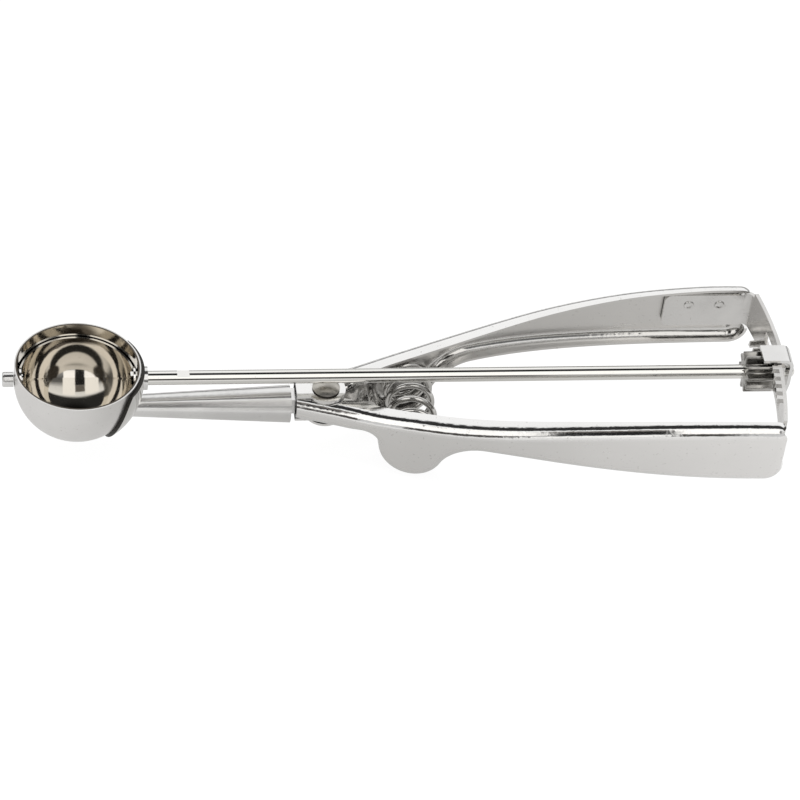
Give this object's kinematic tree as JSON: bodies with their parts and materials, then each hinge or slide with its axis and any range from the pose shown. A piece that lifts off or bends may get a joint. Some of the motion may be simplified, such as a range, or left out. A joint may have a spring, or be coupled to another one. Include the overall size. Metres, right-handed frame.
{
  "type": "lever ice cream scoop",
  "caption": "Squeeze-handle ice cream scoop: round bowl, sweeping scraper blade turned by a rack and pinion on a long rod, two sprung pressed-sheet handles.",
  "frame": {"origin": "under the middle of the whole scoop, level with the lowest point of the handles' finger lobes", "axes": "+X along the rod from the bowl to the handles' free ends, +Y to the fixed handle, +Z out of the bowl's mouth"},
  "size_m": [0.2108, 0.058, 0.0299],
  "materials": {
    "bowl_steel": "mirror polished inside",
    "blade_steel": "mirror polished",
    "bright_steel": "polished",
    "rod_steel": "polished",
    "gear_steel": "as machined",
    "rivet_steel": "tumbled",
    "handle_steel": "satin",
    "rack_steel": "pressed sheet",
    "spring_steel": "polished wire"
  },
  "bodies": {
    "frame": {"bowl": "bowl_steel", "bowl_saddle": "bright_steel", "shaft_bush": "bright_steel", "blade_pin": "bright_steel", "ferrule": "bright_steel", "handle_tongue": "bright_steel", "pivot_rivet": "rivet_steel", "pivot_washer": "rivet_steel", "fixed_handle": "handle_steel", "fixed_rack": "rack_steel", "fixed_rack_welds": "rack_steel", "fixed_spring_seat": "handle_steel", "return_spring": "spring_steel"},
    "squeeze_lever": {"squeeze_handle": "handle_steel", "squeeze_rack": "rack_steel", "squeeze_rack_welds": "rack_steel", "squeeze_spring_seat": "handle_steel"},
    "rod_carriage": {"keeper": "bright_steel"},
    "geared_rod": {"rod": "rod_steel", "pinion": "gear_steel"},
    "scraper": {"scraper_blade": "blade_steel"}
  },
  "joints": [
    {"name": "handle_squeeze", "type": "hinge", "parent": "frame", "child": "squeeze_lever", "pos_m": [-0.02045, 0, 0.01425], "axis": [0, 0, 1], "range_deg": [0, 10], "stiffness_Nm_per_rad": 2, "springref_deg": -8.59, "deforming": ["return_spring"]},
    {"name": "rod_swing", "type": "hinge", "parent": "frame", "child": "rod_carriage", "pos_m": [-0.06945, 0, 0.0232], "axis": [0, 0, 1], "range_deg": [0, 4]},
    {"name": "rod_spin", "type": "hinge", "parent": "rod_carriage", "child": "geared_rod", "pos_m": [-0.06945, 0, 0.0232], "axis": [1, 0, 0], "range_deg": [-140, 0]},
    {"name": "blade_sweep", "type": "hinge", "parent": "frame", "child": "scraper", "pos_m": [-0.08595, 0, 0.0232], "axis": [1, 0, 0], "range_deg": [-140, 0]}
  ],
  "couplings": [
    {"joint": "rod_swing", "follows": "handle_squeeze", "ratio": 0.35399},
    {"joint": "rod_spin", "follows": "handle_squeeze", "ratio": -13.2},
    {"joint": "blade_sweep", "follows": "handle_squeeze", "ratio": -13.2}
  ]
}
